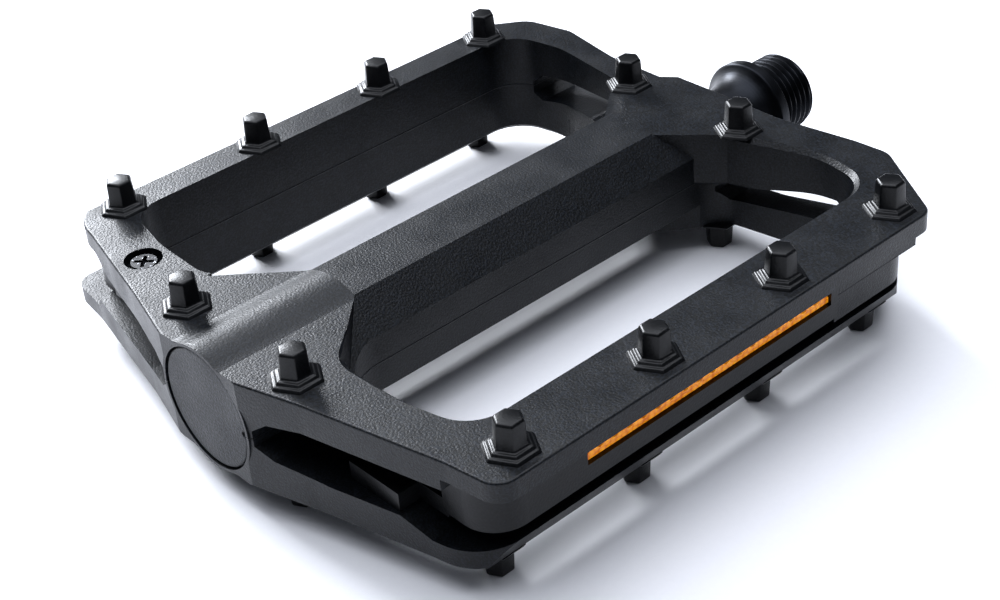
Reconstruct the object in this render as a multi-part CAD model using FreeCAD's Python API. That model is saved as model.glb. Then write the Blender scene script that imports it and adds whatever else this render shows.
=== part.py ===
# Flat platform pedal for a bicycle, drive side: moulded platform, spindle, bearings, reflectors and pins.
# Millimetres. The origin lies on the spindle axis, on the shoulder that meets the crank arm.
# +X runs along the spindle towards the crank, +Y to the rear of the platform, +Z up.
import FreeCAD, Part
import math
import os

V = FreeCAD.Vector

# Platform, measured along X from the crank shoulder, across in Y and up in Z
FACE_Z = 9.45            # half thickness of the platform
LIP = 3.35               # thickness of the top and bottom plates where they overhang
NEAR_Y = -54.4           # front edge of the upper plate
FAR_Y = 48.0             # rear edge of the upper plate
LIP_LEAN = 1.8           # how far the short edge of a plate slopes outwards below its face
OUTBOARD_X = -120.9      # end face of the bearing boss
INBOARD_X = -13.0        # end of the hub on the crank side
OPENING_Y = 41.8         # the two openings reach this far from the axis
OPENING_BEVEL = 0.8
EDGE_ROUND = 0.4
WALL = 2.8               # wall round the openings
WEB_X = -108.8           # back of the blind window in the outboard end bar
WINDOW_TOP_Z = 4.25
WINDOW_LOW_Z = -3.8
CHANNEL_END_X = -38.1    # where the reflector channel stops against the corner block
BLOCK_Y = 50.0           # outer face of that corner block
BLOCK_LOW_Z = -4.8       # its lower edge

# Hub round the spindle
HUB_TOP_Z = 9.65
HUB_FLAT = 5.2           # half width of the flat along its top
HUB_SIDE_Y = 10.5
HUB_SIDE_Z = 4.9         # height where its sloping faces meet its upright sides
RIDGE_R = 10.7           # round ridge between the end cap and the raised flat
RIDGE_END_X = -95.5
HOLLOW_R = 8.0
HUB_END_X = -31.5
CRANK_CORNER = (-23.4, -14.8)   # plate corner reached by a straight wall from the end of the hub's flat

# Spindle
THREAD_R = 7.14          # 9/16 inch, 20 threads to the inch, over the crests
THREAD_LENGTH = 9.1
FLANGE_R = 9.0
FLANGE_LENGTH = 2.4
FLARE = ((-7.5, 6.3), (-5.4, 6.5), (-3.9, 7.0), (-2.9, 7.7))   # (x, r) where the neck widens into the flange
NECK_R = 6.3
JOURNAL_R = 6.45
BUSH_X = (-29.0, -15.5)
SEAL_X = (-15.3, -13.2)
SHAFT_R = 5.0
SEAT_R = 4.0             # 8 mm seat and thread at the far end
SPINDLE_END_X = -115.6
HEX_KEY = 8.0            # socket across flats in the crank end
HEX_DEPTH = 6.0

# Bearing, 8 x 16 x 5
BEARING_X = -102.0       # its inboard face
BEARING_W = 5.0
BEARING_R = 8.0
BALL_R = 1.2
BALL_COUNT = 9
BALL_CIRCLE_R = 6.0
BUSH_R = 8.2
RACE_OUT_R = 6.95        # inside of the outer ring
RACE_IN_R = 5.05         # outside of the inner ring
SHIELD_IN_R = 5.2
SHIELD_T = 0.25
SHIELD_INSET = 0.3
CAGE_R = (5.6, 6.4)
CAGE_LENGTH = 3.2
CLIP_R = (6.9, 8.5)
CLIP_T = 0.8
CLIP_GAP = 6.0
WASHER_R = 6.2
WASHER_T = 1.2
NUT_R = 7.5              # to the corners
NUT_FACE_R = 6.4
NUT_LENGTH = 6.5
NUT_BORE_R = 9.0
SHAFT_BORE_R = 6.5
CAP_R = 9.9
CAP_T = 2.0
CAP_INSET = 0.2
CAP_GAP = 0.25
SKIRT_R = (7.9, 8.97)
SKIRT_LENGTH = 3.2

# Traction pins: hexagonal peg on a stepped hexagonal collar
PIN_RAIL_X = (-104.4, -77.0, -50.3, -24.8)
PIN_NEAR_Y = -49.3
PIN_FAR_Y = 44.4
PIN_END_SPOTS = ((-114.1, -15.3), (-114.1, 12.0), (-20.8, -15.0), (-20.8, 10.5))
PIN_TIP_Z = 14.7
COLLAR_R = 4.3           # to the corners
COLLAR_STEP = 0.5
COLLAR_SLOPE = 0.35
COLLAR_LEDGE = 0.4
PEG_FOOT_R = 2.5
PEG_TIP_R = 2.3
PEG_BEVEL = 0.35
SHANK_R = 1.5
SHANK_LENGTH = 3.0
PIN_TURN = 0.0           # degrees, heading of the first corner

# Reflectors
LENS_X = (-92.0, -40.2)
LENS_FACE_Y = -50.2
LENS_T = 2.6
LENS_Z = (0.0, 4.7)
HOLDER_FACE_Y = -50.7
HOLDER_Z = (-3.1, 5.85)
SCREW_SPOT = (-111.2, 28.3)
SCREW_HEAD_R = 2.6
SCREW_HOLE_R = 3.1
SCREW_R = 1.25
SCREW_HEAD_T = 1.2
SCREW_LENGTH = 6.6
SCREW_SEAT_DEPTH = 1.7
SLOT_LENGTH = 3.2        # cross recess
SLOT_WIDTH = 0.7
SLOT_DEPTH = 0.7
LUG_X = (-113.6, -109.0) # lug that the screw bites into
LUG_Y = (-35.4, -24.6)
LUG_T = 3.0
GAP = 0.12               # assembly clearance
FIT = 0.02               # radial clearance of a piece that is pushed or screwed home


def save(shape, name):
    shape.exportStep("parts/" + name + ".step")


def both_ways(shape):
    # The platform is the same after half a turn about the spindle.
    turned = shape.copy()
    turned.rotate(V(0, 0, 0), V(1, 0, 0), 180)
    return turned


def rounded(points, z):
    # Closed wire through (x, y, corner radius) points at height z.
    edges = []
    ends = []
    count = len(points)
    for i in range(count):
        x, y, r = points[i]
        here = V(x, y, z)
        before = V(points[i - 1][0], points[i - 1][1], z)
        after = V(points[(i + 1) % count][0], points[(i + 1) % count][1], z)
        if r == 0:
            ends.append((here, here))
            continue
        a = (before - here).normalize()
        b = (after - here).normalize()
        half = a.getAngle(b) / 2
        reach = r / math.tan(half)
        start = here + a * reach
        finish = here + b * reach
        middle = here + (a + b).normalize() * (r / math.sin(half) - r)
        ends.append((start, finish))
        edges.append(Part.Arc(start, middle, finish).toShape())
    for i in range(count):
        leave = ends[i - 1][1]
        arrive = ends[i][0]
        if leave.distanceToPoint(arrive) > 1e-6:
            edges.append(Part.LineSegment(leave, arrive).toShape())
    return Part.Wire(Part.__sortEdges__(edges))


def slab(points, z_low, z_high):
    face = Part.Face(rounded(points, z_low))
    return face.extrude(V(0, 0, z_high - z_low))


def along_x(yz_points, x_low, x_high):
    wire = Part.makePolygon([V(x_low, y, z) for y, z in yz_points + yz_points[:1]])
    return Part.Face(wire).extrude(V(x_high - x_low, 0, 0))


def tube(r_out, r_in, x_low, x_high):
    outer = Part.makeCylinder(r_out, x_high - x_low, V(x_low, 0, 0), V(1, 0, 0))
    if r_in == 0:
        return outer
    return outer.cut(Part.makeCylinder(r_in, x_high - x_low, V(x_low, 0, 0), V(1, 0, 0)))


def turned(profile):
    # Solid of revolution about X from (x, r) points.
    wire = Part.makePolygon([V(x, r, 0) for x, r in profile + profile[:1]])
    return Part.Face(wire).revolve(V(0, 0, 0), V(1, 0, 0), 360)


def hexagon(r, z, turn):
    points = []
    for i in range(7):
        a = math.radians(60 * i + turn)
        points.append(V(r * math.cos(a), r * math.sin(a), z))
    return Part.makePolygon(points)


def hex_frustum(r_low, r_high, z_low, z_high, turn):
    return Part.makeLoft([hexagon(r_low, z_low, turn), hexagon(r_high, z_high, turn)], True, True)


os.makedirs("parts", exist_ok=True)

# Platform ------------------------------------------------------------------------------------------
# Corners as (x, y, radius). The upper plate overhangs the front; the lower one is the same, turned over.
upper_outline = [
    (-111.2, NEAR_Y, 3.5), (-112.4, -45.0, 8.0), (-117.8, -20.5, 20.0), (OUTBOARD_X, -9.5, 0),
    (OUTBOARD_X, 9.5, 0), (-117.6, 21.5, 20.0), (-113.0, 40.5, 8.0), (-111.2, FAR_Y + LIP_LEAN, 8.5),
    (-22.3, FAR_Y + LIP_LEAN, 6.0), (-14.0, 43.6, 5.0), (-12.2, 34.0, 5.0), (-14.8, 20.5, 12.0),
    (-15.0, 8.0, 0), (INBOARD_X, 5.4, 0), (INBOARD_X, -5.4, 0), (-13.4, -17.0, 14.0),
    (-11.2, -32.0, 8.0), (-10.9, -38.5, 4.0), (-21.2, NEAR_Y, 3.0),
]
opening_corners = [
    (-107.4, -17.0, 6.0), (-107.0, -30.0, 20.0), (-104.4, -OPENING_Y, 6.0), (-20.6, -OPENING_Y, 6.5),
    (-18.6, -30.0, 16.0),
]
hub_side = [(-100.0, -HUB_SIDE_Y, 9.0)]
# Openings. Near the crank the upper half of the front one ends at a straight slanting wall.
wall_share = (HUB_SIDE_Y - HUB_FLAT) / (-CRANK_CORNER[1] - HUB_FLAT)
wall_foot_x = HUB_END_X + (CRANK_CORNER[0] - HUB_END_X) * wall_share
wall_corners = [(CRANK_CORNER[0], CRANK_CORNER[1], 0), (wall_foot_x, -HUB_SIDE_Y, 0)]
opening_high = slab(opening_corners + wall_corners + hub_side, 0, 20)
opening_low = slab(opening_corners + [(-21.6, -10.5, 5.0), (-100.0, -HUB_SIDE_Y, 9.0)], -20, 0)
side_profile = [
    (NEAR_Y - 1, FACE_Z), (NEAR_Y - 1, 0), (FAR_Y + LIP_LEAN, 0), (FAR_Y + LIP_LEAN, FACE_Z - LIP),
    (FAR_Y, FACE_Z),
]
upper = slab(upper_outline, 0, FACE_Z).common(along_x(side_profile, OUTBOARD_X - 5, 5))
rim = [e for e in upper.Edges if e.BoundBox.ZMin > FACE_Z - 0.01 and abs(e.CenterOfMass.y) > 9]
upper = upper.makeFillet(EDGE_ROUND, rim)
upper = upper.cut(opening_high)
lip = [e for e in upper.Edges if e.BoundBox.ZMin > FACE_Z - 0.01 and e.BoundBox.YMin > -OPENING_Y - 0.1
       and e.BoundBox.YMax < -HUB_SIDE_Y + 0.1 and e.BoundBox.XMax < -18 and e.BoundBox.XMin > -108
       and not (e.CenterOfMass.x > wall_foot_x and e.CenterOfMass.y > CRANK_CORNER[1])]
upper = upper.makeChamfer(OPENING_BEVEL, lip)
body = upper.fuse(both_ways(upper))

# Hub: an eight-sided bar with a round ridge at its outer end, which runs out into the plates in a hollow curve.
hub_profile = [
    (-HUB_FLAT, HUB_TOP_Z), (HUB_FLAT, HUB_TOP_Z), (HUB_SIDE_Y, HUB_SIDE_Z), (HUB_SIDE_Y, -HUB_SIDE_Z),
    (HUB_FLAT, -HUB_TOP_Z), (-HUB_FLAT, -HUB_TOP_Z), (-HUB_SIDE_Y, -HUB_SIDE_Z), (-HUB_SIDE_Y, HUB_SIDE_Z),
]
hollow_z = FACE_Z + HOLLOW_R - 0.05
hollow_y = math.sqrt((RIDGE_R + HOLLOW_R) ** 2 - hollow_z ** 2)
share = RIDGE_R / (RIDGE_R + HOLLOW_R)
ridge_x = OUTBOARD_X + 0.02
for side in (-1, 1):
    crest = V(ridge_x, side * hollow_y * share, hollow_z * share)
    lean = math.atan2(hollow_z, hollow_y) / 2 + math.pi / 4
    middle = V(ridge_x, side * (hollow_y - HOLLOW_R * math.cos(lean)), hollow_z - HOLLOW_R * math.sin(lean))
    foot = V(ridge_x, side * hollow_y, FACE_Z - 0.05)
    edges = [Part.Arc(crest, middle, foot).toShape(), Part.makeLine(foot, V(ridge_x, side * hollow_y, 5)),
             Part.makeLine(V(ridge_x, side * hollow_y, 5), V(ridge_x, 0, 5)),
             Part.makeLine(V(ridge_x, 0, 5), crest)]
    run_out = Part.Face(Part.Wire(edges)).extrude(V(RIDGE_END_X - ridge_x, 0, 0))
    body = body.fuse(run_out)
    body = body.fuse(both_ways(run_out))
body = body.fuse(along_x(hub_profile, RIDGE_END_X, HUB_END_X))
body = body.fuse(tube(RIDGE_R, 0, OUTBOARD_X, RIDGE_END_X))

# Sloping faces of the hub, cut into the plates between the openings
facet_slope = (HUB_TOP_Z - HUB_SIDE_Z) / (HUB_SIDE_Y - HUB_FLAT)
facet = along_x([(-HUB_FLAT, HUB_TOP_Z), (-HUB_FLAT - 12, HUB_TOP_Z - 12 * facet_slope),
                 (-HUB_FLAT - 12, 20), (-HUB_FLAT, 20)], -110, 0)
facet_under = facet.mirror(V(0, 0, 0), V(0, 0, 1))
facet = facet.common(slab([(RIDGE_END_X, -HUB_FLAT, 0), (-107.4, -16.5, 0), (-27.0, -16.5, 0),
                           (wall_foot_x, -HUB_SIDE_Y, 0), (HUB_END_X, -HUB_FLAT, 0)], -20, 20))
facet_under = facet_under.common(slab([(RIDGE_END_X, -HUB_FLAT, 0), (-107.4, -16.5, 0), (-27.0, -16.5, 0),
                                       (-25.6, -HUB_SIDE_Y, 0), (-32.3, -HUB_FLAT, 0)], -20, 20))

# Front channel, its corner block, and the window in each end bar; then the same turned over.
low_z = LIP - FACE_Z
web_outline = [
    (-130.0, -10.0, 0), (WEB_X, -10.0, 0), (WEB_X, -30.0, 20.0), (-107.2, -OPENING_Y - WALL, 8.5),
    (0.0, -OPENING_Y - WALL, 0), (0.0, -70.0, 0), (-130.0, -70.0, 0),
]
channel = slab(web_outline, low_z, -low_z)
channel = channel.common(Part.makeBox(200, 70, 40, V(CHANNEL_END_X - 200, -44.0 - 70, -20)))
corner_cut = slab(web_outline, low_z, WINDOW_TOP_Z)
corner_cut = corner_cut.common(along_x([(-36.0, WINDOW_TOP_Z), (-46.0, WINDOW_TOP_Z), (-46.0, low_z),
                                        (-41.0, low_z), (-36.0, WINDOW_LOW_Z)], -140, -80))
block_cut = Part.makeBox(60, 30, -low_z - BLOCK_LOW_Z, V(CHANNEL_END_X, -BLOCK_Y - 30, BLOCK_LOW_Z))
under_cut = Part.makeBox(60, 30, BLOCK_LOW_Z - low_z, V(CHANNEL_END_X, -OPENING_Y - WALL - 30, low_z))
outer_window = along_x([(-11.2, -1.4), (-11.2, 1.4), (-14.0, 3.4), (-20.0, WINDOW_TOP_Z),
                        (-36.5, WINDOW_TOP_Z), (-36.5, WINDOW_LOW_Z - 0.2), (-36.0, WINDOW_LOW_Z),
                        (-24.0, WINDOW_LOW_Z), (-14.5, -2.9)], OUTBOARD_X - 1, WEB_X)
inner_window = along_x([(-11.5, -3.0), (-11.5, -2.0), (-13.5, -0.9), (-35.0, 2.7), (-37.0, 1.5),
                        (-37.0, -0.9), (-35.0, -2.6), (-13.5, -4.6)], -24.0, 0)
for cutter in (opening_high, opening_low, facet, facet_under, channel, corner_cut, block_cut, under_cut,
               outer_window, inner_window):
    body = body.cut(cutter)
    body = body.cut(both_ways(cutter))

# Bores for the bearing, bush, nut and cap
clip_x = BEARING_X - BEARING_W
nut_bore_x = clip_x - 2.0
cap_seat_x = OUTBOARD_X + CAP_INSET + CAP_T
bores = [
    tube(CAP_R + CAP_GAP, 0, OUTBOARD_X - 1, cap_seat_x),
    tube(NUT_BORE_R, 0, cap_seat_x - 1, nut_bore_x),
    tube(BEARING_R, 0, nut_bore_x - 1, BEARING_X),
    tube(CLIP_R[1] + 0.05, 0, clip_x - CLIP_T - 0.05, clip_x),
    tube(SHAFT_BORE_R, 0, BEARING_X - 1, BUSH_X[0] + 1),
    tube(BUSH_R, 0, BUSH_X[0], 1),
]
for cutter in bores:
    body = body.cut(cutter)

# Screw holes: the rear reflector's screw goes in from above, the front one's from below.
screw_seat_z = FACE_Z - SCREW_SEAT_DEPTH
screw_hole = Part.makeCylinder(SCREW_HOLE_R, 4, V(SCREW_SPOT[0], SCREW_SPOT[1], screw_seat_z))
screw_hole = screw_hole.fuse(Part.makeCylinder(SCREW_R + 0.2, 8, V(SCREW_SPOT[0], SCREW_SPOT[1], 3)))
body = body.cut(screw_hole)
body = body.cut(both_ways(screw_hole))

# Traction pins: four along each rail and two at each end, on both faces.
pin_spots = []
for number, x in enumerate(PIN_RAIL_X, 1):
    pin_spots.append(("front_%d" % number, x, PIN_NEAR_Y))
    pin_spots.append(("rear_%d" % number, x, PIN_FAR_Y))
for label, spot in zip(("outer_front", "outer_rear", "inner_front", "inner_rear"), PIN_END_SPOTS):
    pin_spots.append((label, spot[0], spot[1]))
step_r = COLLAR_R - COLLAR_SLOPE - COLLAR_LEDGE
collar_top_z = FACE_Z + 2 * COLLAR_STEP
pin = hex_frustum(COLLAR_R, COLLAR_R - COLLAR_SLOPE, FACE_Z, FACE_Z + COLLAR_STEP, PIN_TURN)
pin = pin.fuse(hex_frustum(step_r, step_r - COLLAR_SLOPE, FACE_Z + COLLAR_STEP, collar_top_z, PIN_TURN))
pin = pin.fuse(hex_frustum(PEG_FOOT_R, PEG_TIP_R, collar_top_z, PIN_TIP_Z - PEG_BEVEL, PIN_TURN))
pin = pin.fuse(hex_frustum(PEG_TIP_R, PEG_TIP_R - PEG_BEVEL, PIN_TIP_Z - PEG_BEVEL, PIN_TIP_Z, PIN_TURN))
pin = pin.fuse(Part.makeCylinder(SHANK_R, SHANK_LENGTH, V(0, 0, FACE_Z - SHANK_LENGTH)))
hole_depth = SHANK_LENGTH + 0.1
other_side = {"front": "rear", "rear": "front"}
for label, x, y in pin_spots:
    placed = pin.copy()
    placed.translate(V(x, y, 0))
    save(placed, "pin_top_" + label)
    # Turned over, a front pin comes to the rear.
    twin = "_".join(other_side.get(word, word) for word in label.split("_"))
    save(both_ways(placed), "pin_bottom_" + twin)
    hole = Part.makeCylinder(SHANK_R + FIT, hole_depth, V(x, y, FACE_Z - hole_depth))
    body = body.cut(hole)
    body = body.cut(both_ways(hole))
save(body.removeSplitter(), "platform_body")

# Spindle and what runs on it ------------------------------------------------------------------------
spindle = turned([
    (SPINDLE_END_X, 0), (SPINDLE_END_X, SEAT_R - 0.4), (SPINDLE_END_X + 0.4, SEAT_R), (BEARING_X, SEAT_R),
    (BEARING_X, SHAFT_R), (-34.0, SHAFT_R), (-31.0, JOURNAL_R), (BUSH_X[1], JOURNAL_R), (SEAL_X[0], NECK_R),
    *FLARE, (-FLANGE_LENGTH, FLANGE_R - 0.6), (-FLANGE_LENGTH + 0.4, FLANGE_R), (-0.4, FLANGE_R),
    (0, FLANGE_R - 0.4), (0, THREAD_R), (THREAD_LENGTH - 0.7, THREAD_R),
    (THREAD_LENGTH, THREAD_R - 0.7), (THREAD_LENGTH, 0),
])
socket = Part.Face(hexagon(HEX_KEY / math.sqrt(3), 0, 0)).extrude(V(0, 0, HEX_DEPTH + 1))
socket.rotate(V(0, 0, 0), V(0, 1, 0), 90)
socket.translate(V(THREAD_LENGTH - HEX_DEPTH, 0, 0))
save(spindle.cut(socket), "spindle")
save(tube(BUSH_R, JOURNAL_R + 0.03, BUSH_X[0], BUSH_X[1]), "inner_bush")
save(tube(BUSH_R, NECK_R + 0.05, SEAL_X[0], SEAL_X[1]), "dust_seal")

ball_x = BEARING_X - BEARING_W / 2
track = Part.makeTorus(BALL_CIRCLE_R, BALL_R + FIT, V(ball_x, 0, 0), V(1, 0, 0))
save(tube(BEARING_R, RACE_OUT_R, clip_x, BEARING_X).cut(track), "bearing_outer_ring")
save(tube(RACE_IN_R, SEAT_R, clip_x, BEARING_X).cut(track), "bearing_inner_ring")
cage = tube(CAGE_R[1], CAGE_R[0], ball_x - CAGE_LENGTH / 2, ball_x + CAGE_LENGTH / 2)
for i in range(BALL_COUNT):
    a = 2 * math.pi * i / BALL_COUNT
    centre = V(ball_x, BALL_CIRCLE_R * math.cos(a), BALL_CIRCLE_R * math.sin(a))
    save(Part.makeSphere(BALL_R, centre), "bearing_ball_%d" % (i + 1))
    cage = cage.cut(Part.makeSphere(BALL_R + 2 * FIT, centre))
save(cage, "bearing_cage")
shield = tube(RACE_OUT_R, SHIELD_IN_R, clip_x + SHIELD_INSET, clip_x + SHIELD_INSET + SHIELD_T)
save(shield, "bearing_shield_outer")
shield = shield.copy()
shield.translate(V(BEARING_W - 2 * SHIELD_INSET - SHIELD_T, 0, 0))
save(shield, "bearing_shield_inner")
clip = tube(CLIP_R[1], CLIP_R[0], clip_x - CLIP_T, clip_x)
clip_mouth = Part.makeBox(3 * CLIP_T, CLIP_GAP, CLIP_R[1],
                          V(clip_x - 2 * CLIP_T, -CLIP_GAP / 2, -CLIP_R[1] - 1))
save(clip.cut(clip_mouth), "bearing_clip")
washer_x = clip_x - WASHER_T
save(tube(WASHER_R, SEAT_R + FIT, washer_x, clip_x), "spindle_washer")
nut_end_x = washer_x - NUT_LENGTH
nut = Part.Face(hexagon(NUT_R, 0, 0)).extrude(V(0, 0, NUT_LENGTH))
nut.rotate(V(0, 0, 0), V(0, 1, 0), 90)
nut.translate(V(nut_end_x, 0, 0))
dome = turned([(nut_end_x, 0), (nut_end_x, NUT_FACE_R), (nut_end_x + 0.7, NUT_R + 0.1),
               (washer_x, NUT_R + 0.1), (washer_x, 0)])
save(nut.common(dome).cut(tube(SEAT_R + FIT, 0, nut_end_x - 1, washer_x + 1)), "spindle_nut")
cap_face_x = OUTBOARD_X + CAP_INSET
skirt_end_x = cap_seat_x + SKIRT_LENGTH
cap = turned([
    (cap_face_x, 0), (cap_face_x, CAP_R - 0.3), (cap_face_x + 0.3, CAP_R), (cap_seat_x, CAP_R),
    (cap_seat_x, SKIRT_R[1]), (skirt_end_x, SKIRT_R[1]), (skirt_end_x, SKIRT_R[0]),
    (cap_seat_x, SKIRT_R[0]), (cap_seat_x, 0),
])
save(cap, "end_cap")

# Reflectors: an amber lens in a black holder that wraps round the outer front corner --------------------
face = HOLDER_FACE_Y
back = -OPENING_Y - WALL - 0.3
end_x = CHANNEL_END_X - 0.4
wrap_x = -109.9
wrap_back_x = -108.5
wrap_end_y = -40.4
tall_x = -104.0
holder_mid_z = WINDOW_TOP_Z - 0.15
holder_outline = [
    (wrap_x, face, 6.0), (end_x, face, 0), (end_x, back, 0), (wrap_back_x, back, 4.5),
    (wrap_back_x, wrap_end_y, 0), (wrap_x, wrap_end_y, 0),
]
holder = slab(holder_outline, HOLDER_Z[0], holder_mid_z)
tall = slab([(tall_x, face, 0), (end_x, face, 0), (end_x, back, 0), (tall_x, back, 0)],
            holder_mid_z, HOLDER_Z[1])
holder = holder.fuse(tall)
pocket = Part.makeBox(LENS_X[1] - LENS_X[0] + 2 * GAP, 20, LENS_Z[1] - LENS_Z[0] + 2 * GAP,
                      V(LENS_X[0] - GAP, LENS_FACE_Y + LENS_T + GAP - 20, LENS_Z[0] - GAP))
holder = holder.cut(pocket)
lug_low_z = WINDOW_LOW_Z + GAP
lug = Part.makeBox(LUG_X[1] - LUG_X[0], LUG_Y[1] - LUG_Y[0], LUG_T, V(LUG_X[0], LUG_Y[0], lug_low_z))
arm = Part.makeBox(0.9, LUG_Y[0] + 1 - (wrap_end_y - 1), LUG_T, V(wrap_x, wrap_end_y - 1, lug_low_z))
holder = holder.fuse(lug).fuse(arm)
holder = holder.cut(Part.makeCylinder(SCREW_R + FIT, 20, V(SCREW_SPOT[0], -SCREW_SPOT[1], -15)))
save(holder, "reflector_holder_front")
save(both_ways(holder), "reflector_holder_rear")
lens = Part.makeBox(LENS_X[1] - LENS_X[0], LENS_T, LENS_Z[1] - LENS_Z[0], V(LENS_X[0], LENS_FACE_Y, LENS_Z[0]))
save(lens, "reflector_lens_front")
save(both_ways(lens), "reflector_lens_rear")

# Cross-recess screws that hold the reflectors
screw = Part.makeCone(SCREW_HEAD_R, SCREW_HEAD_R - 0.5, SCREW_HEAD_T, V(0, 0, screw_seat_z))
for turn in (45, 135):
    slot = Part.makeBox(SLOT_LENGTH, SLOT_WIDTH, 2, V(-SLOT_LENGTH / 2, -SLOT_WIDTH / 2,
                                                      screw_seat_z + SCREW_HEAD_T - SLOT_DEPTH))
    slot.rotate(V(0, 0, 0), V(0, 0, 1), turn)
    screw = screw.cut(slot)
screw = screw.fuse(Part.makeCylinder(SCREW_R, SCREW_LENGTH, V(0, 0, screw_seat_z - SCREW_LENGTH)))
screw.translate(V(SCREW_SPOT[0], SCREW_SPOT[1], 0))
save(screw, "reflector_screw_rear")
save(both_ways(screw), "reflector_screw_front")
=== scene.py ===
# Flat platform pedal for a bicycle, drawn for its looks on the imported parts.
# Metres. The origin lies on the spindle axis, on the shoulder that meets the crank arm.
# +X runs along the spindle towards the crank, +Y to the rear of the platform, +Z up.
import bpy
import bmesh
import math
from mathutils import Matrix, Vector


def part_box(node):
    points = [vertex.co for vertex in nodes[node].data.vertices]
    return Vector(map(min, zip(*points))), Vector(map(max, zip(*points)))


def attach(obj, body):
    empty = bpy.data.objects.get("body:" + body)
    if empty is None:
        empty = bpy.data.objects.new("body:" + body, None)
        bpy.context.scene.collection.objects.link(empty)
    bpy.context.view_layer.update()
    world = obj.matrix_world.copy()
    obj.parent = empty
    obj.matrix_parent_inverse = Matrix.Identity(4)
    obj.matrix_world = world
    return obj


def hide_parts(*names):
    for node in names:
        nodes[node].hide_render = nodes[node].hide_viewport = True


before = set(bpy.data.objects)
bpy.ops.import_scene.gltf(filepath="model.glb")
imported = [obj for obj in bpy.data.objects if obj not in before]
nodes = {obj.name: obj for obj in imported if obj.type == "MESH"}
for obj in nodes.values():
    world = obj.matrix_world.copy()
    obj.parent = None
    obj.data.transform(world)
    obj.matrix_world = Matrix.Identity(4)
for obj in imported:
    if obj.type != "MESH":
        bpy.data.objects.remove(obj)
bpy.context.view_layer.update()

# Camera ----------------------------------------------------------------------------------------------
# A short portrait lens, close in, looking down on the outer front corner of the pedal.
camera_data = bpy.data.cameras.new("camera")
camera_data.sensor_width = 36.0
camera_data.lens = 66.31
camera_data.clip_start = 0.01
camera = bpy.data.objects.new("camera", camera_data)
bpy.context.scene.collection.objects.link(camera)
view_right = Vector((0.73607, -0.67291, -0.07341))
view_up = Vector((0.42184, 0.37120, 0.82720))
view_back = -Vector((0.52938, 0.63984, -0.55710))
camera_turn = Matrix((view_right, view_up, view_back)).transposed()
camera.matrix_world = Matrix.Translation((-0.22535, -0.19594, 0.16046)) @ camera_turn.to_4x4()
bpy.context.scene.camera = camera


# Table top -------------------------------------------------------------------------------------------
# A sheet of white coated card under the pedal. It is smooth and matt, with a faint tooth, so it
# shows as an even white that only the pedal's soft shadow breaks.
MM = 0.001


def add(tree, kind, settings=(), values=(), links=()):
    # A node of that kind with its settings, its socket values, and (socket, where from) links.
    node = tree.nodes.new(kind)
    for name, value in dict(settings).items():
        setattr(node, name, value)
    for name, value in dict(values).items():
        node.inputs[name].default_value = value
    for name, source in dict(links).items():
        tree.links.new(source, node.inputs[name])
    return node


def from_hex(code):
    # Linear colour from an sRGB hex code.
    channels = []
    for i in (0, 2, 4):
        c = int(code[i:i + 2], 16) / 255
        channels.append(c / 12.92 if c <= 0.04045 else ((c + 0.055) / 1.055) ** 2.4)
    return (*channels, 1.0)


def new_material(name):
    material = bpy.data.materials.new(name)
    material.use_nodes = True
    material.node_tree.nodes.clear()
    return material, material.node_tree


card, tree = new_material("white_card_coated")
place = add(tree, "ShaderNodeTexCoord")
tooth = add(tree, "ShaderNodeTexNoise", values={"Scale": 1 / (0.8 * MM), "Detail": 3.0},
            links={"Vector": place.outputs["Object"]})
tone = add(tree, "ShaderNodeMix", {"data_type": "RGBA"},
           {"A": from_hex("f6f6f9"), "B": from_hex("fafafc")}, {"Factor": tooth.outputs["Fac"]})
bump = add(tree, "ShaderNodeBump", values={"Strength": 0.15, "Distance": 0.05 * MM},
           links={"Height": tooth.outputs["Fac"]})
shader = add(tree, "ShaderNodeBsdfPrincipled", values={"Roughness": 0.6, "Specular IOR Level": 0.3},
             links={"Base Color": tone.outputs["Result"], "Normal": bump.outputs["Normal"]})
add(tree, "ShaderNodeOutputMaterial", links={"Surface": shader.outputs["BSDF"]})

TABLE_HALF = 3.0
pin_tip_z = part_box("pin_bottom_front_1")[0].z
mesh = bpy.data.meshes.new("table_top")
corners = [(-TABLE_HALF, -TABLE_HALF), (TABLE_HALF, -TABLE_HALF),
           (TABLE_HALF, TABLE_HALF), (-TABLE_HALF, TABLE_HALF)]
mesh.from_pydata([(x, y, pin_tip_z) for x, y in corners], [], [(0, 1, 2, 3)])
table_top = bpy.data.objects.new("table_top", mesh)
table_top.data.materials.append(card)
bpy.context.scene.collection.objects.link(table_top)


# Light -----------------------------------------------------------------------------------------------
# A wide soft box hangs overhead and whitens the card. A low one behind the pedal skims the top faces of
# its far corner. The room is pale overhead and dim towards its walls, so the black stays black.
def soft_light(name, place_at, aim_at, size, power, colour):
    data = bpy.data.lights.new(name, "AREA")
    data.shape = "RECTANGLE"
    data.size = size[0]
    data.size_y = size[1]
    data.energy = power
    data.color = from_hex(colour)[:3]
    light = bpy.data.objects.new(name, data)
    light.location = place_at
    light.rotation_euler = (Vector(aim_at) - Vector(place_at)).to_track_quat("-Z", "Y").to_euler()
    bpy.context.scene.collection.objects.link(light)


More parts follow.
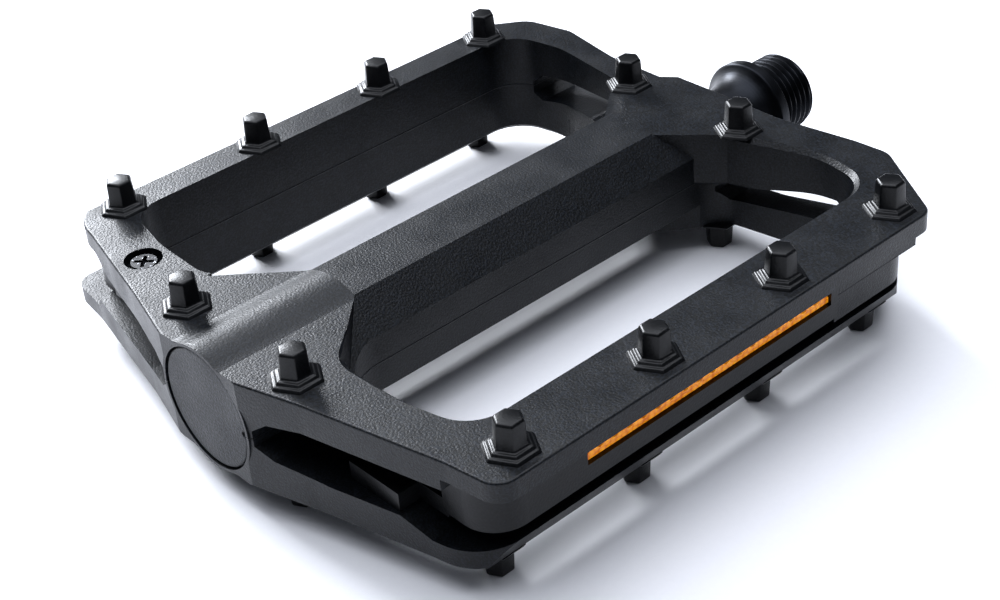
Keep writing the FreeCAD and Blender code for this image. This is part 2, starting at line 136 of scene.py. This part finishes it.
soft_light("rear_light", (0.02, 0.86, 0.42), (-0.11, 0.03, 0.0), (0.50, 0.26), 23.0, "f4f8ff")
soft_light("over_light", (0.02, 0.12, 1.05), (-0.07, 0.0, 0.0), (1.4, 1.4), 19.0, "f2f6ff")
world = bpy.data.worlds.new("pale_room")
bpy.context.scene.world = world
world.use_nodes = True
tree = world.node_tree
tree.nodes.clear()
place = add(tree, "ShaderNodeTexCoord")
axes = add(tree, "ShaderNodeSeparateXYZ", links={"Vector": place.outputs["Generated"]})
fill = add(tree, "ShaderNodeMapRange", {"interpolation_type": "SMOOTHSTEP"},
           {"From Min": 0.60, "From Max": 0.95, "To Min": 0.09, "To Max": 0.60},
           {"Value": axes.outputs["Z"]})
sky = add(tree, "ShaderNodeBackground", values={"Color": from_hex("e4ebfa")},
          links={"Strength": fill.outputs["Result"]})
add(tree, "ShaderNodeOutputWorld", links={"Surface": sky.outputs["Background"]})
bpy.context.scene.view_settings.view_transform = "Standard"
bpy.context.scene.view_settings.look = "None"


# Platform --------------------------------------------------------------------------------------------
# Glass-filled nylon, injection moulded in a spark-eroded tool. The eye sees near black with a fine
# even grain, a satin sheen, cool grey where light skims it, and a faint parting line at half height.
GRAIN = 0.30 * MM       # coarser than a real spark grain, so that it shows


def moulded(name, grain_size, dark, light, gloss, depth, parting_line=False):
    # A moulded plastic: fine speckle in tone, gloss and height, and slow clouds in its gloss.
    material, tree = new_material(name)
    place = add(tree, "ShaderNodeTexCoord")
    grain = add(tree, "ShaderNodeTexNoise",
                values={"Scale": 1 / grain_size, "Detail": 1.0, "Roughness": 0.5},
                links={"Vector": place.outputs["Object"]})
    pits = add(tree, "ShaderNodeTexVoronoi", {"feature": "F1"}, {"Scale": 1 / (1.3 * grain_size)},
               {"Vector": place.outputs["Object"]})
    cloud = add(tree, "ShaderNodeTexNoise", values={"Scale": 1 / (7 * MM), "Detail": 3.0},
                links={"Vector": place.outputs["Object"]})
    peaks = add(tree, "ShaderNodeMapRange", {"interpolation_type": "SMOOTHSTEP"},
                {"From Min": 0.42, "From Max": 0.66}, {"Value": grain.outputs["Fac"]})
    tone = add(tree, "ShaderNodeMix", {"data_type": "RGBA"}, {"A": from_hex(dark), "B": from_hex(light)},
               {"Factor": peaks.outputs["Result"]})
    sheen = add(tree, "ShaderNodeMapRange",
                values={"From Min": 0.3, "From Max": 0.7, "To Min": gloss[0], "To Max": gloss[1]},
                links={"Value": cloud.outputs["Fac"]})
    height = add(tree, "ShaderNodeMath", {"operation": "MULTIPLY_ADD"}, {1: -0.8},
                 {0: pits.outputs["Distance"], 2: grain.outputs["Fac"]})
    if parting_line:
        # The thin raised line where the halves of the mould met runs round at half height.
        axes = add(tree, "ShaderNodeSeparateXYZ", links={"Vector": place.outputs["Object"]})
        off_line = add(tree, "ShaderNodeMath", {"operation": "ABSOLUTE"}, links={0: axes.outputs["Z"]})
        line = add(tree, "ShaderNodeMapRange", {"interpolation_type": "SMOOTHSTEP"},
                   {"From Min": 0.0, "From Max": 0.2 * MM, "To Min": 2.5, "To Max": 0.0},
                   {"Value": off_line.outputs[0]})
        height = add(tree, "ShaderNodeMath", {"operation": "ADD"},
                     links={0: height.outputs[0], 1: line.outputs["Result"]})
    bump = add(tree, "ShaderNodeBump", values={"Strength": 0.8, "Distance": depth},
               links={"Height": height.outputs[0]})
    shader = add(tree, "ShaderNodeBsdfPrincipled", values={"IOR": 1.53, "Specular IOR Level": 0.21},
                 links={"Base Color": tone.outputs["Result"], "Roughness": sheen.outputs["Result"],
                        "Normal": bump.outputs["Normal"]})
    add(tree, "ShaderNodeOutputMaterial", links={"Surface": shader.outputs["BSDF"]})
    return material


def finish_node(name, material):
    # Gives a carried-over part its finish.
    slots = nodes[name].data.materials
    for i in range(len(slots)):
        slots[i] = material


nylon = moulded("moulded_nylon_spark_grain", GRAIN, "030405", "14181e", (0.34, 0.46), 0.042 * MM, True)
finish_node("platform_body", nylon)


# End cap ---------------------------------------------------------------------------------------------
# A moulded nylon disc with a skirt that snaps into the outer end of the boss. Its rim is rounded and has
# one small notch for prising it out.
CAP_R = 9.9 * MM
CAP_FACE_X = -120.7 * MM
CAP_SEAT_X = -118.7 * MM
CAP_SKIRT_END_X = -115.5 * MM
CAP_SKIRT_R = (7.9 * MM, 8.97 * MM)
CAP_EDGE = 0.35 * MM
CAP_EDGE_STEPS = 4
CAP_STEPS = 160
NOTCH_DEPTH = 0.7 * MM
NOTCH_HALF_ANGLE = math.radians(4.5)


def mesh_object(name, bm, material, body, smooth=35):
    # Makes a piece from a finished bmesh, with its finish, its body and its slot.
    bmesh.ops.recalc_face_normals(bm, faces=bm.faces)
    mesh = bpy.data.meshes.new(name)
    bm.to_mesh(mesh)
    bm.free()
    mesh.materials.append(material)
    piece = bpy.data.objects.new(name, mesh)
    bpy.context.scene.collection.objects.link(piece)
    for face in mesh.polygons:
        face.use_smooth = True
    mesh.set_sharp_from_angle(angle=math.radians(smooth))
    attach(piece, body)
    return piece


def turned(profile, steps, radius_at):
    # Closed skin of revolution about X from (x, r) points, with r adjusted for each angle.
    bm = bmesh.new()
    rings = []
    for x, r in profile:
        if r == 0:
            rings.append([bm.verts.new((x, 0, 0))])
            continue
        ring = []
        for i in range(steps):
            a = 2 * math.pi * i / steps
            here = radius_at(x, r, a)
            ring.append(bm.verts.new((x, here * math.cos(a), here * math.sin(a))))
        rings.append(ring)
    for before, after in zip(rings, rings[1:]):
        for i in range(steps):
            j = (i + 1) % steps
            if len(before) == 1:
                bm.faces.new((before[0], after[j], after[i]))
            elif len(after) == 1:
                bm.faces.new((before[i], before[j], after[0]))
            else:
                bm.faces.new((before[i], before[j], after[j], after[i]))
    return bm


def notched(x, r, angle):
    # The notch is at the front of the cap, in the rounded rim only.
    off = abs(angle - math.pi)
    if off < NOTCH_HALF_ANGLE and r > CAP_R - 1.03 * CAP_EDGE:
        return r - NOTCH_DEPTH * math.cos(off / NOTCH_HALF_ANGLE * math.pi / 2)
    return r


cap_profile = [(CAP_FACE_X, 0), (CAP_FACE_X, 0.5 * CAP_R), (CAP_FACE_X, CAP_R - 2 * CAP_EDGE)]
for i in range(CAP_EDGE_STEPS + 1):
    a = math.pi / 2 * i / CAP_EDGE_STEPS
    cap_profile.append((CAP_FACE_X + CAP_EDGE * (1 - math.cos(a)), CAP_R - CAP_EDGE * (1 - math.sin(a))))
cap_profile += [(CAP_SEAT_X, CAP_R), (CAP_SEAT_X, CAP_SKIRT_R[1]), (CAP_SKIRT_END_X, CAP_SKIRT_R[1]),
                (CAP_SKIRT_END_X, CAP_SKIRT_R[0]), (CAP_SEAT_X, CAP_SKIRT_R[0]), (CAP_SEAT_X, 0)]
cap_nylon = moulded("cap_nylon_spark_grain", 0.34 * MM, "07080a", "24282e", (0.42, 0.52), 0.06 * MM)
cap = mesh_object("end_cap_disc", turned(cap_profile, CAP_STEPS, notched), cap_nylon, "platform")
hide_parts("end_cap")


# Traction pins ---------------------------------------------------------------------------------------
# Hexagonal nylon pegs, each on a low stepped collar, that grip the sole of a shoe. They are moulded
# smoother than the platform, so their rounded edges catch the light.
SIDES = 6
COLLAR_R = (4.3 * MM, 3.95 * MM, 3.55 * MM, 3.2 * MM)
COLLAR_Z = (9.45 * MM, 9.95 * MM, 9.95 * MM, 10.45 * MM)
PEG_R = (2.5 * MM, 2.3 * MM)
PEG_TOP_R = 1.95 * MM
PEG_TIP_Z = 14.7 * MM
PEG_EDGE_Z = 14.35 * MM
FOOT_FILLET = 0.3 * MM
SHANK_R = 1.5 * MM
SHANK_END_Z = 6.45 * MM
ROUNDING = 0.16 * MM


def pin_mesh():
    # Six-sided rings from the collar's foot to the tip, then the shank below, with rounded edges.
    levels = list(zip(COLLAR_R, COLLAR_Z))
    levels += [(PEG_R[0] + FOOT_FILLET, COLLAR_Z[3]), (PEG_R[0], COLLAR_Z[3] + FOOT_FILLET),
               (PEG_R[1], PEG_EDGE_Z), (PEG_TOP_R, PEG_TIP_Z)]
    bm = bmesh.new()
    rings = []
    for r, z in levels:
        ring = []
        for i in range(SIDES):
            a = 2 * math.pi * i / SIDES
            ring.append(bm.verts.new((r * math.cos(a), r * math.sin(a), z)))
        rings.append(ring)
    for before, after in zip(rings, rings[1:]):
        for i in range(SIDES):
            j = (i + 1) % SIDES
            bm.faces.new((before[i], before[j], after[j], after[i]))
    bm.faces.new(rings[-1])
    rounded = [edge for edge in bm.edges if not edge.is_boundary]
    bmesh.ops.bevel(bm, geom=rounded, offset=ROUNDING, offset_type="OFFSET", segments=2, profile=0.5,
                    affect="EDGES", clamp_overlap=True)
    foot = [edge for edge in bm.edges if edge.is_boundary]
    around = sorted({v for e in foot for v in e.verts}, key=lambda v: math.atan2(v.co.y, v.co.x))
    count = len(around)
    shank = []
    for z in (COLLAR_Z[0], SHANK_END_Z):
        ring = []
        for v in around:
            a = math.atan2(v.co.y, v.co.x)
            ring.append(bm.verts.new((SHANK_R * math.cos(a), SHANK_R * math.sin(a), z)))
        shank.append(ring)
    for i in range(count):
        j = (i + 1) % count
        bm.faces.new((around[i], around[j], shank[0][j], shank[0][i]))
        bm.faces.new((shank[0][i], shank[0][j], shank[1][j], shank[1][i]))
    bm.faces.new(shank[1])
    return bm


pin_nylon = moulded("pin_nylon_smooth", 0.3 * MM, "030405", "0b0c0f", (0.28, 0.38), 0.015 * MM)
for name in sorted(nodes):
    if not name.startswith("pin_"):
        continue
    low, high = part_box(name)
    bm = pin_mesh()
    if name.startswith("pin_bottom"):
        bmesh.ops.rotate(bm, verts=bm.verts, cent=(0, 0, 0), matrix=Matrix.Rotation(math.pi, 3, "X"))
    bmesh.ops.translate(bm, verts=bm.verts, vec=((low.x + high.x) / 2, (low.y + high.y) / 2, 0))
    peg = mesh_object("peg" + name[3:], bm, pin_nylon, "platform", 50)
    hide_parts(name)


# Spindle ---------------------------------------------------------------------------------------------
# Forged chromium-molybdenum steel, turned and then blackened, with a 9/16 inch thread of 20 turns to the
# inch cut on its crank end and a hexagon socket in its end face. It reads near black, with a soft metal
# sheen and faint rings from the turning tool.
PITCH = 25.4 / 20 * MM
THREAD_R = 7.14 * MM
THREAD_LENGTH = 9.1 * MM
THREAD_DEPTH = 0.70 * MM
THREAD_ROWS = 8         # rows of the mesh to each turn of the thread
THREAD_FLAT = 0.15      # share of half a turn that is flat at the crest, and again at the root
RUN_OUT_START = 0.5 * MM
RUN_OUT_LENGTH = 0.8 * MM
END_CHAMFER = 0.8 * MM
HEX_KEY = 8.0 * MM
HEX_DEPTH = 6.0 * MM
TURN_STEPS = 96


def thread_radius(x, r, angle):
    # A V thread with narrow crests and roots, which runs out at the flange and at the end chamfer.
    if r != THREAD_R:
        return r
    turn = (x / PITCH + angle / (2 * math.pi)) % 1
    flank = min(max((abs(turn - 0.5) * 2 - THREAD_FLAT) / (1 - 2 * THREAD_FLAT), 0), 1)
    fade = min(max((x - RUN_OUT_START) / RUN_OUT_LENGTH, 0), 1)
    chamfer_r = THREAD_R - max(x - (THREAD_LENGTH - END_CHAMFER), 0)
    return min(THREAD_R - THREAD_DEPTH * flank * fade, chamfer_r)


spindle_profile = [(-115.6, 0), (-115.6, 3.6), (-115.2, 4.0), (-102.0, 4.0), (-102.0, 5.0), (-34.0, 5.0),
                   (-31.0, 6.45), (-15.5, 6.45), (-15.3, 6.3), (-7.5, 6.3), (-6.4, 6.36), (-5.4, 6.5),
                   (-4.6, 6.72), (-3.9, 7.0), (-3.4, 7.3), (-2.9, 7.7), (-2.4, 8.4), (-2.25, 8.72),
                   (-2.1, 8.9), (-1.95, 9.0), (-0.4, 9.0), (-0.2, 8.95), (-0.05, 8.8), (0, 8.6)]
profile = [(x * MM, r * MM) for x, r in spindle_profile]
row_count = round(THREAD_LENGTH / PITCH * THREAD_ROWS)
for i in range(row_count + 1):
    profile.append((THREAD_LENGTH * i / row_count, THREAD_R))


def hex_radius(angle):
    # Distance from the axis to the socket's wall.
    from_flat = (angle + math.pi / 6) % (math.pi / 3) - math.pi / 6
    return HEX_KEY / 2 / math.cos(from_flat)


def spindle_radius(x, r, angle):
    if r == HEX_KEY:
        return hex_radius(angle)
    return thread_radius(x, r, angle)


profile += [(THREAD_LENGTH, HEX_KEY), (THREAD_LENGTH - HEX_DEPTH, HEX_KEY), (THREAD_LENGTH - HEX_DEPTH, 0)]

steel, tree = new_material("blackened_chromoly_steel_turned")
place = add(tree, "ShaderNodeTexCoord")
# The rings are 0.47 mm apart, since the wave repeats about three times in its scale length. Real ones
# are finer and wouldn't show.
RING_SCALE = 1.5 * MM
cut_marks = add(tree, "ShaderNodeTexWave", {"wave_type": "BANDS", "bands_direction": "X"},
                {"Scale": 1 / RING_SCALE, "Distortion": 0.6, "Detail": 2.0},
                {"Vector": place.outputs["Object"]})
stain = add(tree, "ShaderNodeTexNoise", values={"Scale": 1 / (2.5 * MM), "Detail": 4.0},
            links={"Vector": place.outputs["Object"]})
tone = add(tree, "ShaderNodeMix", {"data_type": "RGBA"}, {"A": from_hex("121316"), "B": from_hex("26282c")},
           {"Factor": stain.outputs["Fac"]})
gloss = add(tree, "ShaderNodeMapRange", values={"To Min": 0.30, "To Max": 0.50},
            links={"Value": stain.outputs["Fac"]})
bump = add(tree, "ShaderNodeBump", values={"Strength": 0.25, "Distance": 0.02 * MM},
           links={"Height": cut_marks.outputs["Fac"]})
shader = add(tree, "ShaderNodeBsdfPrincipled", values={"Metallic": 1.0},
             links={"Base Color": tone.outputs["Result"], "Roughness": gloss.outputs["Result"],
                    "Normal": bump.outputs["Normal"]})
add(tree, "ShaderNodeOutputMaterial", links={"Surface": shader.outputs["BSDF"]})
spindle = mesh_object("threaded_spindle", turned(profile, TURN_STEPS, spindle_radius), steel, "spindle",
                      24)
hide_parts("spindle")


# Bearings, nut, clip, bush and seal ------------------------------------------------------------------
# Inside the hub. A shielded ball bearing, its clip, a washer and a lock nut hold the outer end of the
# spindle, and a moulded bush and a rubber lip seal carry its crank end.
def metal(name, dark, light, gloss, mark_size, mark_depth):
    # A machined metal with slightly uneven polish. Its marks are drawn coarser than real, so they show.
    material, tree = new_material(name)
    place = add(tree, "ShaderNodeTexCoord")
    marks = add(tree, "ShaderNodeTexNoise", values={"Scale": 1 / mark_size, "Detail": 4.0},
                links={"Vector": place.outputs["Object"]})
    tone = add(tree, "ShaderNodeMix", {"data_type": "RGBA"}, {"A": from_hex(dark), "B": from_hex(light)},
               {"Factor": marks.outputs["Fac"]})
    polish = add(tree, "ShaderNodeMapRange", values={"To Min": gloss[0], "To Max": gloss[1]},
                 links={"Value": marks.outputs["Fac"]})
    bump = add(tree, "ShaderNodeBump", values={"Strength": 0.3, "Distance": mark_depth},
               links={"Height": marks.outputs["Fac"]})
    shader = add(tree, "ShaderNodeBsdfPrincipled", values={"Metallic": 1.0},
                 links={"Base Color": tone.outputs["Result"], "Roughness": polish.outputs["Result"],
                        "Normal": bump.outputs["Normal"]})
    add(tree, "ShaderNodeOutputMaterial", links={"Surface": shader.outputs["BSDF"]})
    return material


bearing_steel = metal("ground_bearing_steel", "b9bcc0", "cfd1d4", (0.12, 0.28), 0.4 * MM, 0.005 * MM)
zinc = metal("zinc_plated_steel", "a9adb3", "c4c6c8", (0.28, 0.45), 0.8 * MM, 0.01 * MM)
bush_polymer = moulded("turned_acetal", 0.3 * MM, "202226", "2b2d31", (0.30, 0.40), 0.01 * MM)
cage_polymer = moulded("moulded_cage_nylon", 0.3 * MM, "5a3a1e", "6b4826", (0.35, 0.45), 0.01 * MM)
seal_rubber = moulded("moulded_nitrile_rubber", 0.35 * MM, "0c0c0d", "151516", (0.50, 0.65), 0.02 * MM)
inner_finish = {"bearing_cage": cage_polymer, "inner_bush": bush_polymer, "dust_seal": seal_rubber,
                "spindle_washer": zinc, "spindle_nut": zinc}
for name in sorted(nodes):
    if name in inner_finish:
        finish_node(name, inner_finish[name])
    elif name.startswith("bearing_"):
        finish_node(name, bearing_steel)


# Reflectors ------------------------------------------------------------------------------------------
# Amber acrylic bars with small prisms moulded into them, which give each bright window a toothed edge. Each
# bar is held in a black ABS holder that wraps round the corner of the platform.
PRISM_PITCH = 2.9 * MM
WINDOW_HEIGHT = 1.80 * MM       # bright window along the outer edge of the bar
STEP_BACK = 0.9 * MM            # the rest of the bar stands this far behind it
TOOTH = 0.55 * MM
TOOTH_STEPS = 8
FOOT_BEVEL = 0.25 * MM
EDGE_BEVEL = 0.1 * MM
holder_abs = moulded("moulded_abs_satin", 0.35 * MM, "040506", "0d0e11", (0.30, 0.40), 0.02 * MM)
for side in ("front", "rear"):
    finish_node("reflector_holder_" + side, holder_abs)

amber, tree = new_material("amber_acrylic_prismatic")
place = add(tree, "ShaderNodeTexCoord")
facets = add(tree, "ShaderNodeTexVoronoi", {"feature": "F1"}, {"Scale": 1 / (1.1 * MM), "Randomness": 0.45},
             {"Vector": place.outputs["Object"]})
glow = add(tree, "ShaderNodeMapRange", values={"From Min": 0.15, "From Max": 0.75},
           links={"Value": facets.outputs["Distance"]})
tone = add(tree, "ShaderNodeMix", {"data_type": "RGBA"}, {"A": from_hex("ffa31a"), "B": from_hex("c96400")},
           {"Factor": glow.outputs["Result"]})
bump = add(tree, "ShaderNodeBump", values={"Strength": 0.5, "Distance": 0.2 * MM},
           links={"Height": facets.outputs["Distance"]})
# A faint emission in the bar's own colour is a painted glow, brighter at each facet's centre, so the bar
# reads brighter than its colour would.
shader = add(tree, "ShaderNodeBsdfPrincipled",
             values={"IOR": 1.49, "Roughness": 0.22, "Specular IOR Level": 0.3, "Emission Strength": 0.32},
             links={"Base Color": tone.outputs["Result"], "Emission Color": tone.outputs["Result"],
                    "Normal": bump.outputs["Normal"]})
add(tree, "ShaderNodeOutputMaterial", links={"Surface": shader.outputs["BSDF"]})

# Behind the window the bar takes a copy of the amber painted dark brown, as painted shade where it gets
# little light.
amber_painted_shade, tree = new_material("amber_acrylic_painted_shade")
place = add(tree, "ShaderNodeTexCoord")
mottle = add(tree, "ShaderNodeTexNoise", values={"Scale": 1 / (0.9 * MM), "Detail": 2.0},
             links={"Vector": place.outputs["Object"]})
tone = add(tree, "ShaderNodeMix", {"data_type": "RGBA"}, {"A": from_hex("2a1200"), "B": from_hex("5c2c02")},
           {"Factor": mottle.outputs["Fac"]})
bump = add(tree, "ShaderNodeBump", values={"Strength": 0.4, "Distance": 0.1 * MM},
           links={"Height": mottle.outputs["Fac"]})
shader = add(tree, "ShaderNodeBsdfPrincipled", values={"IOR": 1.49, "Roughness": 0.3},
             links={"Base Color": tone.outputs["Result"], "Normal": bump.outputs["Normal"]})
add(tree, "ShaderNodeOutputMaterial", links={"Surface": shader.outputs["BSDF"]})


def lens_mesh(low, high, outward, up):
    # A bar in two steps: a bright front window with a toothed edge, and the body of the bar set back.
    count = round((high.x - low.x) / PRISM_PITCH)
    steps = count * TOOTH_STEPS
    front = high.y if outward > 0 else low.y
    back = low.y if outward > 0 else high.y
    foot = low.z if up > 0 else high.z
    top = high.z if up > 0 else low.z
    behind = front - outward * STEP_BACK
    bm = bmesh.new()
    rows = []
    for i in range(steps + 1):
        x = low.x + (high.x - low.x) * i / steps
        # The cosine is cubed, so the teeth are broad and the gaps between them narrow.
        edge = foot + up * (WINDOW_HEIGHT - TOOTH * abs(math.cos(math.pi * i / TOOTH_STEPS)) ** 3)
        points = [(back, foot), (front - outward * FOOT_BEVEL, foot), (front, foot + up * FOOT_BEVEL),
                  (front, edge - up * EDGE_BEVEL), (front - outward * EDGE_BEVEL, edge), (behind, edge),
                  (behind, top), (back, top)]
        rows.append([bm.verts.new((x, y, z)) for y, z in points])
    for before, after in zip(rows, rows[1:]):
        for i in range(len(before)):
            j = (i + 1) % len(before)
            face = bm.faces.new((before[i], before[j], after[j], after[i]))
            # The front and the top of the set-back part take the painted-shade amber.
            face.material_index = 1 if i in (5, 6) else 0
    bm.faces.new(rows[0])
    bm.faces.new(rows[-1])
    return bm


for side, outward, up in (("front", -1, 1), ("rear", 1, -1)):
    low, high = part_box("reflector_lens_" + side)
    lens = mesh_object("prism_lens_" + side, lens_mesh(low, high, outward, up), amber, "platform",
                       40)
    lens.data.materials.append(amber_painted_shade)
    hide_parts("reflector_lens_" + side)


# Reflector screws ------------------------------------------------------------------------------------
# Cross-recess steel screws, blackened, each sunk in a round hole to hold a reflector's lug. The blackening
# is worn through in spots, where the bare steel shines.
screw_steel, tree = new_material("blackened_screw_steel_worn")
place = add(tree, "ShaderNodeTexCoord")
worn = add(tree, "ShaderNodeTexNoise", values={"Scale": 1 / (0.9 * MM), "Detail": 3.0},
           links={"Vector": place.outputs["Object"]})
bare = add(tree, "ShaderNodeMapRange", {"interpolation_type": "SMOOTHSTEP"},
           {"From Min": 0.56, "From Max": 0.70}, {"Value": worn.outputs["Fac"]})
tone = add(tree, "ShaderNodeMix", {"data_type": "RGBA"}, {"A": from_hex("131416"), "B": from_hex("85878c")},
           {"Factor": bare.outputs["Result"]})
gloss = add(tree, "ShaderNodeMapRange", values={"To Min": 0.45, "To Max": 0.22},
            links={"Value": bare.outputs["Result"]})
bump = add(tree, "ShaderNodeBump", values={"Strength": 0.4, "Distance": 0.03 * MM},
           links={"Height": worn.outputs["Fac"]})
shader = add(tree, "ShaderNodeBsdfPrincipled", values={"Metallic": 1.0},
             links={"Base Color": tone.outputs["Result"], "Roughness": gloss.outputs["Result"],
                    "Normal": bump.outputs["Normal"]})
add(tree, "ShaderNodeOutputMaterial", links={"Surface": shader.outputs["BSDF"]})
for side in ("front", "rear"):
    finish_node("reflector_screw_" + side, screw_steel)
